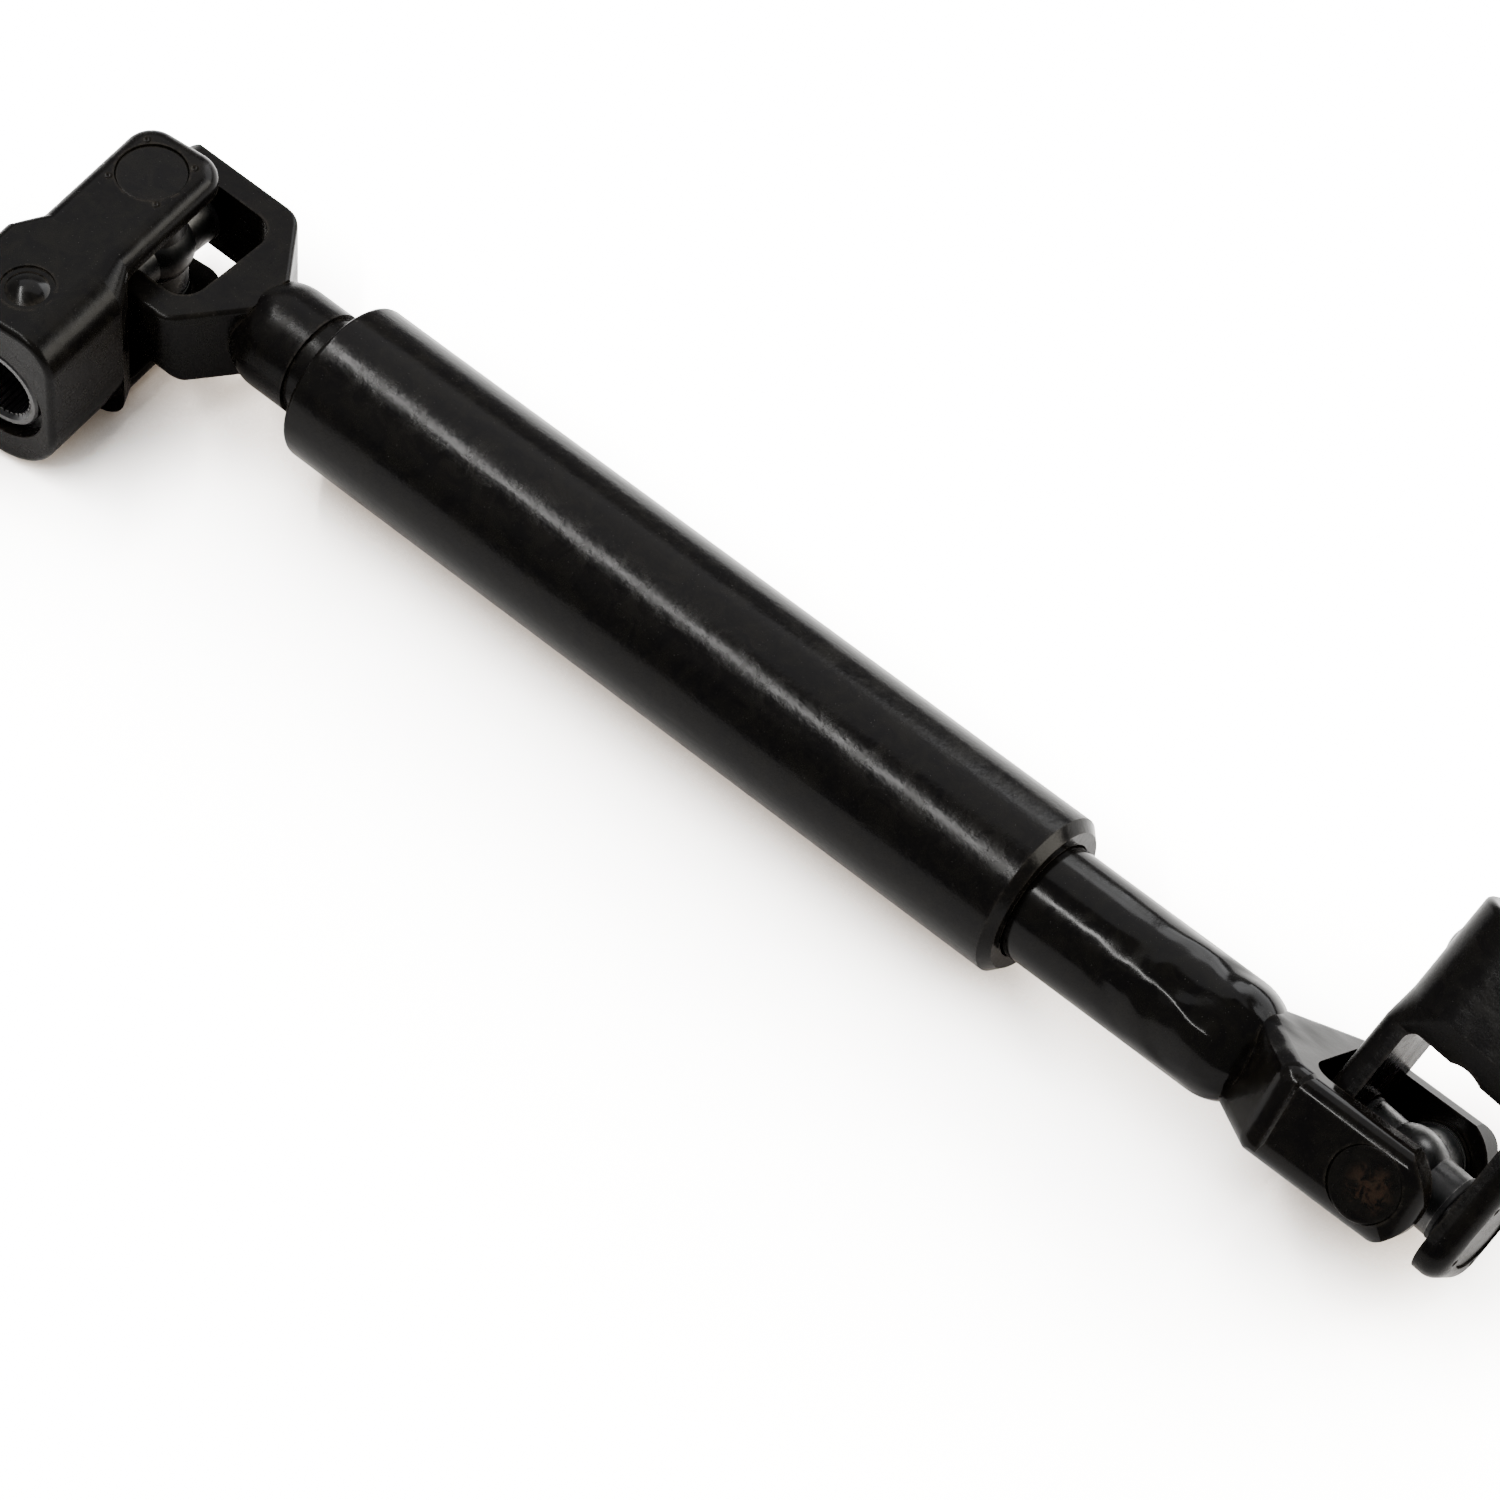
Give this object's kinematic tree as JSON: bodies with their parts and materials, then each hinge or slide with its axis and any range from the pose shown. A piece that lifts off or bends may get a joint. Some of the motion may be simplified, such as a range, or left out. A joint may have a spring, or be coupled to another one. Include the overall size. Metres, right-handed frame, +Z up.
{
  "type": "universal joint shaft",
  "caption": "Telescoping steel shaft with a universal joint at each end and a serrated bore in each end yoke.",
  "frame": {"origin": "centre of the base of the part's box, on the table it lies on", "axes": "+X along the shaft from the sleeve's fork to the sliding shaft's fork, +Z up, +Y the way the left yoke's bore turns away from"},
  "size_m": [0.3562, 0.0982, 0.0636],
  "materials": {
    "sleeve_paint": "semi-gloss",
    "shaft_paint": "gloss",
    "forging_paint": "satin",
    "cross_steel": "satin",
    "cup_steel": "satin",
    "needle_steel": "polished",
    "seal_rubber": "matt",
    "hub_steel": "satin",
    "pin_paint": "satin",
    "nylon": "satin",
    "ring_steel": "satin"
  },
  "bodies": {
    "sleeve": {"outer_sleeve": "sleeve_paint", "shaft_seal": "seal_rubber", "left_fork": "forging_paint", "left_fork_a_cup": "cup_steel", "left_fork_a_needles": "needle_steel", "left_fork_b_cup": "cup_steel", "left_fork_b_needles": "needle_steel"},
    "left_cross": {"left_cross": "cross_steel", "left_fork_a_seal": "seal_rubber", "left_fork_b_seal": "seal_rubber", "left_yoke_a_seal": "seal_rubber", "left_yoke_b_seal": "seal_rubber"},
    "left_yoke": {"left_yoke": "forging_paint", "left_hub": "hub_steel", "left_hub_pin": "pin_paint", "left_yoke_a_cup": "cup_steel", "left_yoke_a_needles": "needle_steel", "left_yoke_b_cup": "cup_steel", "left_yoke_b_needles": "needle_steel"},
    "slider": {"inner_shaft": "shaft_paint", "spline_coat": "nylon", "stop_ring": "ring_steel", "right_fork_a_cup": "cup_steel", "right_fork_a_needles": "needle_steel", "right_fork_b_cup": "cup_steel", "right_fork_b_needles": "needle_steel"},
    "right_cross": {"right_cross": "cross_steel", "right_fork_a_seal": "seal_rubber", "right_fork_b_seal": "seal_rubber", "right_yoke_a_seal": "seal_rubber", "right_yoke_b_seal": "seal_rubber"},
    "right_yoke": {"right_yoke": "forging_paint", "right_hub": "hub_steel", "right_hub_pin": "pin_paint", "right_yoke_a_cup": "cup_steel", "right_yoke_a_needles": "needle_steel", "right_yoke_b_cup": "cup_steel", "right_yoke_b_needles": "needle_steel"}
  },
  "joints": [
    {"name": "shaft_slide", "type": "slide", "parent": "sleeve", "child": "slider", "axis": [1, 0, 0], "range_m": [-0.03, 0.025]},
    {"name": "left_fork_hinge", "type": "hinge", "parent": "sleeve", "child": "left_cross", "pos_m": [-0.16616, 0.00141, 0.021], "axis": [0, -1, 0], "range_deg": [-18, 18]},
    {"name": "left_yoke_hinge", "type": "hinge", "parent": "left_cross", "child": "left_yoke", "pos_m": [-0.16616, 0.00141, 0.021], "axis": [0, 0, 1], "range_deg": [-190.8, 0]},
    {"name": "right_fork_hinge", "type": "hinge", "parent": "slider", "child": "right_cross", "pos_m": [0.15464, 0.00141, 0.021], "axis": [0, 0.7826, -0.6225], "range_deg": [0, 170]},
    {"name": "right_yoke_hinge", "type": "hinge", "parent": "right_cross", "child": "right_yoke", "pos_m": [0.15464, 0.00141, 0.021], "axis": [-0.9962, 0.0543, 0.0682], "range_deg": [-24, 0]}
  ]
}
